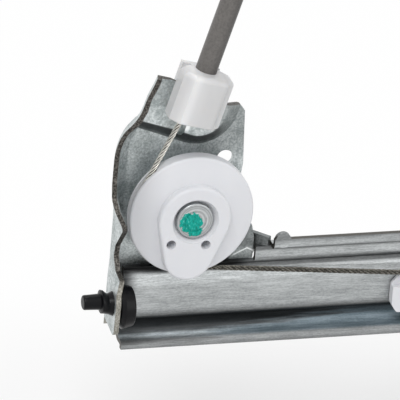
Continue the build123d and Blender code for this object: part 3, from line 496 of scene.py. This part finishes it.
# A dab of green paint marks the near stud's head
marked, wear, bare = bright_steel("marked_steel")
DAB_X, DAB_Z, DAB_R = -1.2, -0.5, 3.1
DRIP_X, DRIP_Z, DRIP_R = 0.4, -3.1, 1.7
wander = (marked.noise(1.6, seed=4.0) - 0.5) * 2.4
from_dab = ((marked.x - DAB_X) ** 2.0 + (marked.z - DAB_Z) ** 2.0) ** 0.5 + wander
from_drip = ((marked.x - DRIP_X) ** 2.0 + (marked.z - DRIP_Z) ** 2.0) ** 0.5 + wander
dab = from_dab.below(DAB_R, 0.12).most(from_drip.below(DRIP_R, 0.12)) * (-marked.y).above(HEAD_FACE, 0.1)
brushed = marked.noise((0.5, 0.9, 1.1), rough=0.7, seed=6.0)
paint = marked.ramp(brushed, [
    (0.34, (0.0, 0.17, 0.13)),
    (0.45, (0.001, 0.31, 0.245)),
    (0.60, (0.003, 0.37, 0.30)),
    (0.68, (0.16, 0.58, 0.50)),
])
marked.wear(
    color=marked.mix(dab, bare, paint),
    rough=(0.24 + 0.24 * wear) * (1.0 - dab) + 0.42 * dab,
    metal=1.0 - dab,
)
marked.bump(dab + 0.4 * marked.noise(0.8, seed=8.0) * dab, 0.12, 0.8)
marked.on("guide_stud_near")

# Conduit, rubber, dark mouldings, cable
conduit = Finish("conduit_plastic")
speck = conduit.noise(0.7, rough=0.75).above(0.5, 0.35)
skin = conduit.mix(speck, (0.085, 0.080, 0.075), (0.165, 0.154, 0.145))
# Painted shade on the faces turned towards +X
turned_right_shade = 1.0 - 0.45 * conduit.nx.above(0.25, 0.6)
conduit.wear(color=conduit.times(skin, turned_right_shade), rough=0.30 + 0.2 * speck)
conduit.on("conduit_near", "conduit_far")

rubber = Finish("rubber", color=(0.003, 0.003, 0.004), rough=0.30, Specular_IOR_Level=0.16)
rubber.bump(rubber.noise(0.5), 0.05, 0.5)

dark = Finish("dark_moulding", color=(0.020, 0.020, 0.023), rough=0.46, Specular_IOR_Level=0.35)
dark.bump(dark.noise(0.35), 0.03, 0.5)
dark.on(
    "drum_housing", "drum_cover", "conduit_sleeve_near", "conduit_sleeve_far",
    "glass_pad_upper", "glass_pad_lower",
)


def strand_metal(name, low, high):
    """Galvanised wire, whose grime goes from low to high."""
    metal = Finish(name, metal=1.0)
    grime = metal.noise(0.8)
    metal.wear(color=metal.mix(grime.above(0.5, 0.2), low, high), rough=0.30 + 0.1 * grime)
    return metal


wire = strand_metal("cable_wire", (0.46, 0.45, 0.41), (0.76, 0.74, 0.69))
wire.on("drum_wrap_near", "drum_wrap_far", "cable_near", "cable_far")
# The run along the rail gets a darker copy of the wire
dimmed = strand_metal("dimmed_wire", (0.055, 0.052, 0.045), (0.20, 0.19, 0.165))
# The cable's core is near black: painted shade in the gaps between the strands
core = Finish("cable_core", color=(0.012, 0.011, 0.010), rough=0.7, Specular_IOR_Level=0.2)


def reshaped(name, move, levels, finish):
    """A CAD node's merged copy, cut at some heights, with its points where move(points in mm) puts them."""
    shape = bmesh.new()
    shape.from_mesh(nodes[name].data)
    bmesh.ops.remove_doubles(shape, verts=shape.verts[:], dist=MERGE * MM)
    for level in levels:
        whole = shape.verts[:] + shape.edges[:] + shape.faces[:]
        bmesh.ops.bisect_plane(shape, geom=whole, plane_co=(0, 0, level * MM), plane_no=(0, 0, 1))
    mesh = bpy.data.meshes.new(f"{name}_shape")
    shape.to_mesh(mesh)
    shape.free()
    for layer in ("custom_normal", "sharp_edge", "sharp_face"):
        if layer in mesh.attributes:
            mesh.attributes.remove(mesh.attributes[layer])
    points = np.empty(len(mesh.vertices) * 3)
    mesh.vertices.foreach_get("co", points)
    mesh.vertices.foreach_set("co", (move(points.reshape(-1, 3) / MM) * MM).ravel())
    mesh.set_sharp_from_angle(angle=math.radians(SHARP_ANGLE))
    mesh.materials.clear()
    mesh.materials.append(finish.material)
    mesh.update()
    thing = bpy.data.objects.new(mesh.name, mesh)
    bpy.context.scene.collection.objects.link(thing)
    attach(thing, "frame")
    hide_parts(name)


def smooth(value, low, high):
    """s s (3 - 2 s), for the share s of the way from low to high."""
    share = np.clip((value - low) / (high - low), 0, 1)
    return share * share * (3 - 2 * share)


def leaned(points):
    """Flange points go out by tan(lean) times their depth, less at the ear; the tab's edge drops."""
    points = points.copy()
    side = np.sign(points[:, 0] - MID_X)
    out = np.abs(points[:, 0] - MID_X)
    inner = MID_X - FLANGE_X - np.interp(points[:, 2], FLANGE_HEIGHTS, FLANGE_INSETS) - SHEET
    at_ear = 1 - smooth(points[:, 2], EAR_LOW, EAR_HIGH)
    share = smooth(points[:, 2], LEAN_LOW, LEAN_HIGH) + EAR_LEAN * at_ear
    share *= smooth(out, inner - LEAN_SOFT, inner)
    out = out - math.tan(math.radians(LEAN)) * points[:, 1] * share
    in_tab = (MID_X - out > TAB_X) * (points[:, 2] < TAB_Z) * (points[:, 2] > TAB_Z - TAB_HEIGHT)
    points[:, 2] -= TAB_DROP * in_tab
    points[:, 0] = MID_X + side * out
    return points


def pulled(points):
    """The head grows downward from its top, the tail thickens and rises, and both move in with the ear."""
    points = points.copy()
    side = np.sign(points[:, 0] - MID_X)
    out = np.abs(points[:, 0] - MID_X)
    beyond = out - (MID_X - FLANGE_X)
    head = 1 - smooth(beyond, HEAD_FROM, HEAD_TO)
    tail = smooth(beyond, TAIL_FROM, TAIL_TO)
    aside, up = points[:, 1] + STOP_FRONT, points[:, 2] - STOP_Z
    points[:, 1] = aside * (1 + HEAD_DEEPER * head + TAIL_THICKER * tail) - STOP_FRONT
    from_top = points[:, 2] - STOP_TOP_Z
    points[:, 2] = STOP_Z + up * (1 + TAIL_THICKER * tail) + from_top * HEAD_TALLER * head + TAIL_LIFT * tail
    points[:, 0] = MID_X + side * (out + STOP_IN * (1 - smooth(beyond, IN_FROM, IN_TO)))
    return points


LEAN_CUTS = (EAR_LOW, EAR_HIGH, LEAN_LOW, 0.0, 3.0, 6.0, LEAN_HIGH)
for end in ("near", "far"):
    reshaped(f"bracket_{end}", leaned, LEAN_CUTS, sheet)
    reshaped(f"bump_stop_{end}", pulled, (), rubber)


def rounded(points, radii):
    """Legs joined by arcs: an arc of radius r leaves its legs r tan(turn / 2) from the corner."""
    path = [np.array([points[0]])]
    for before, corner, after, radius in zip(points, points[1:], points[2:], radii):
        back = np.subtract(before, corner) / np.linalg.norm(np.subtract(before, corner))
        on = np.subtract(after, corner) / np.linalg.norm(np.subtract(after, corner))
        turn = math.pi - math.acos(np.clip(back @ on, -1, 1))
        leave = radius * math.tan(turn / 2)
        middle = corner + (back + on) / np.linalg.norm(back + on) * radius / math.cos(turn / 2)
        first, last = corner + back * leave - middle, corner + on * leave - middle
        share = np.linspace(0, 1, ARC_POINTS)[:, None]
        arc = (np.sin((1 - share) * turn) * first + np.sin(share * turn) * last) / math.sin(turn)
        path.append(middle + arc)
    path.append(np.array([points[-1]]))
    return np.vstack(path)


def evenly(path, spacing):
    """The path at even steps, and how far along each step is."""
    gone = np.concatenate([[0], np.cumsum(np.linalg.norm(np.diff(path, axis=0), axis=1))])
    steps = np.linspace(0, gone[-1], int(gone[-1] / spacing) + 2)
    return np.stack([np.interp(steps, gone, path[:, axis]) for axis in range(3)], axis=1), steps


def square_to(lines):
    """Two directions square to each line and to each other; a cable never runs along Y."""
    along = np.gradient(lines, axis=-2)
    along /= np.linalg.norm(along, axis=-1, keepdims=True)
    across = np.cross(along, (0.0, 1.0, 0.0))
    across /= np.linalg.norm(across, axis=-1, keepdims=True)
    return across, np.cross(along, across)


def tubes(lines, radius, sides, name, finish):
    """Closed tubes round lines, an array (line, step, 3): point = line + radius (cos t A + sin t B)."""
    across, up = square_to(lines)
    turn = np.linspace(0, 2 * math.pi, sides, endpoint=False)[:, None]
    rings = lines[:, :, None] + radius * (np.cos(turn) * across[:, :, None] + np.sin(turn) * up[:, :, None])
    count = np.arange(rings[..., 0].size).reshape(rings.shape[:3])
    beside = np.roll(count, -1, axis=2)
    walls = np.stack([count[:, :-1], beside[:, :-1], beside[:, 1:], count[:, 1:]], axis=-1).reshape(-1, 4)
    faces = walls.tolist() + count[:, 0, ::-1].tolist() + count[:, -1].tolist()
    mesh = bpy.data.meshes.new(name)
    mesh.from_pydata((rings.reshape(-1, 3) * MM).tolist(), [], faces)
    mesh.polygons.foreach_set("use_smooth", np.arange(len(faces)) < len(walls))
    mesh.materials.append(finish.material)
    mesh.update()
    thing = bpy.data.objects.new(name, mesh)
    bpy.context.scene.collection.objects.link(thing)
    return thing


def twisted(path, name, finish, spacing=FINE_STEP):
    """Strands wound round a core: line k = path + w (cos a A + sin a B), a = 2 pi (s / lay + k / strands)."""
    path, gone = evenly(path, spacing)
    across, up = square_to(path)
    wound = CABLE_D / 2 - STRAND_R
    angle = 2 * math.pi * (gone / LAY + np.arange(STRANDS)[:, None] / STRANDS)
    lines = path + wound * (np.cos(angle)[..., None] * across + np.sin(angle)[..., None] * up)
    return [
        tubes(lines, STRAND_R, STRAND_SIDES, f"{name}_strands", finish),
        tubes(path[None], wound, STRAND_SIDES, f"{name}_core", core),
    ]


def on_fit(s):
    """Point s along the fitting's axis, as (x, z)."""
    return FIT_X + s * math.sin(math.radians(TILT)), FIT_Z + s * math.cos(math.radians(TILT))


def on_guide(angle):
    """The cable's point on the guide at an angle, as (x, z)."""
    return CABLE_R * math.cos(angle), CABLE_R * math.sin(angle)


# The near cable's places, as (x, z)
knee = on_fit(KNEE_S)
in_angle = math.atan2(knee[1], knee[0]) + math.acos(CABLE_R / math.hypot(*knee))
out_angle = math.radians(OUT_ANGLE)
out_x, out_z = on_guide(out_angle)
nipple_z = out_z - (NIPPLE_X - out_x) / math.tan(out_angle)
crest = on_fit((DRUM_TOP_Z + CONDUIT_CREST - FIT_Z) / math.cos(math.radians(TILT)))
after_knee = [crest, (CONDUIT_LOW_X, DRUM_TOP_Z), (SLEEVE_END_X, DRUM_TOP_Z), (MID_X - WRAP_GAP, DRUM_TOP_Z)]


def cable(name, leaving, nipple, wrap_front, place):
    """The run to the carrier is built where it lies and baked in place; the rest, over the guide and into the
    conduit, goes with the frame.
    """
    turn = np.linspace(leaving, in_angle, GUIDE_POINTS)
    front = np.full(GUIDE_POINTS, -CABLE_FRONT)
    guide = np.stack([CABLE_R * np.cos(turn), front, CABLE_R * np.sin(turn)], axis=1)
    corners = [(x, -CABLE_FRONT, z) for x, z in [on_guide(in_angle), knee] + after_knee]
    corners[-1] = (corners[-1][0], -wrap_front, corners[-1][2])
    whole = rounded(corners, BENDS)
    entry_z = on_fit(CONDUIT_SEAT + ENTRY_DEPTH)[1]
    open_part = evenly(whole, FINE_STEP)[0][1:]
    shown = place(np.vstack([guide, open_part[open_part[:, 2] < entry_z][:SHOWN_STEPS]]))
    inside = evenly(whole, HIDDEN_STEP)[0]
    hidden = place(inside[np.argmax(inside[:, 2] > entry_z - ENTRY_DEPTH):])
    start, end = place(np.array([guide[0], (nipple[0], -CABLE_FRONT, nipple[1])]))
    run = twisted(np.array([end, start]), f"{name}_run", dimmed, RUN_STEP)
    rest = twisted(shown, f"{name}_turn", wire)
    rest.append(tubes(hidden[None], CABLE_D / 2, HIDDEN_SIDES, f"{name}_inside", wire))
    for piece in run:
        tuple(start * MM)
        tuple(end * MM)
        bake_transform(piece)
    for piece in rest:
        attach(piece, "frame")
    for piece in run + rest:
        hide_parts(name)


def as_is(points):
    """The near cable's points stay."""
    return points


def mirrored(points):
    """x becomes the studs' spacing less x."""
    return points * (-1, 1, 1) + (STUD_GAP, 0, 0)


cable("cable_near", out_angle, (NIPPLE_X - NIPPLE_GAP, nipple_z), NEAR_WRAP_FRONT, as_is)
far_x = STUD_GAP - (2 * SLIDE_MID_X - NIPPLE_X)
far_angle = 2 * math.pi + math.atan2(nipple_z, far_x) - math.acos(CABLE_R / math.hypot(far_x, nipple_z))
cable("cable_far", far_angle, (far_x - NIPPLE_GAP, nipple_z), FAR_WRAP_FRONT, mirrored)

# Camera: the photograph's direction and scale, and a long lens; PX are pixels of a picture 400 wide
RIGHT = Vector((0.957, -0.28, 0.079)).normalized()
UP = Vector((0.0536, 0.437, 0.898)).normalized()
BACK = RIGHT.cross(UP).normalized()
UP = BACK.cross(RIGHT)
PICTURE = 400.0
PX_PER_MM = 3.7
DISTANCE = 2500.0
SENSOR = 36.0
RIGHT_PX = 10.0
UP_PX = 12.9
eye = Vector((0.0, -CABLE_FRONT, 0.0)) + BACK * DISTANCE
eye = (eye + RIGHT * RIGHT_PX / PX_PER_MM + UP * UP_PX / PX_PER_MM) * MM
lens = bpy.data.cameras.new("camera")
lens.sensor_width = SENSOR
lens.lens = SENSOR * PX_PER_MM * DISTANCE / PICTURE
camera = bpy.data.objects.new("camera", lens)
bpy.context.scene.collection.objects.link(camera)
camera.matrix_world = Matrix((
    (RIGHT.x, UP.x, BACK.x, eye.x),
    (RIGHT.y, UP.y, BACK.y, eye.y),
    (RIGHT.z, UP.z, BACK.z, eye.z),
    (0, 0, 0, 1),
))
bpy.context.scene.camera = camera


def softbox(name, place, size, power):
    """A white rectangle of light that faces the origin; place and size are in metres."""
    data = bpy.data.lights.new(name, "AREA")
    data.shape = "RECTANGLE"
    data.size, data.size_y = size
    data.energy = power
    lamp = bpy.data.objects.new(name, data)
    bpy.context.scene.collection.objects.link(lamp)
    lamp.location = place
    lamp.rotation_euler = (-Vector(place)).to_track_quat("-Z", "Y").to_euler()


softbox("key", (-0.45, -0.8, 1.25), (0.7, 0.7), 12.0)
softbox("fill", (0.9, -0.9, 0.4), (0.9, 0.9), 3.0)
softbox("top", (0.1, 0.5, 1.4), (0.9, 0.5), 3.5)

# World: white where it is seen or mirrored, plain daylight level where it lights
DAYLIGHT = 0.5
world = bpy.data.worlds.new("world")
bpy.context.scene.world = world
world.use_nodes = True
sky = Net(world.node_tree)
background = sky.tree.nodes["Background"]
sky.feed(background, "Color", (1.0, 1.0, 1.0))
sky.feed(background, "Strength", DAYLIGHT + (1.0 - DAYLIGHT) * sky.seen())

# Floor: pale sheet under the part with a painted glow, near full where it runs back and weaker in front,
# where the part's soft shadow shows
FLOOR_Z = -80.0
FLOOR_HALF = 1500.0
GLOW_FRONT = 0.55
GLOW_BACK = 0.98
BACK_Y = 75.0
BACK_SOFT = 45.0
floor_mesh = bpy.data.meshes.new("floor")
half, height = FLOOR_HALF * MM, FLOOR_Z * MM
corners = [(x * half, y * half, height) for x, y in ((-1, -1), (1, -1), (1, 1), (-1, 1))]
floor_mesh.from_pydata(corners, [], [(0, 1, 2, 3)])
floor = bpy.data.objects.new("floor", floor_mesh)
bpy.context.scene.collection.objects.link(floor)
paper = Finish("floor_paper", color=(0.86, 0.86, 0.86), rough=0.9)
glow = paper.add("ShaderNodeEmission", None, {"Color": (1.0, 1.0, 1.0), "Strength": 1.0})
share = paper.seen() * (GLOW_FRONT + (GLOW_BACK - GLOW_FRONT) * paper.y.above(BACK_Y, BACK_SOFT))
lit = Val(paper, paper.base.outputs[0])
shown = paper.add("ShaderNodeMixShader", None, {0: share, 1: lit, 2: glow})
paper.feed(paper.tree.nodes["Material Output"], "Surface", shown)
floor_mesh.materials.append(paper.material)

bpy.context.scene.view_settings.view_transform = "Standard"
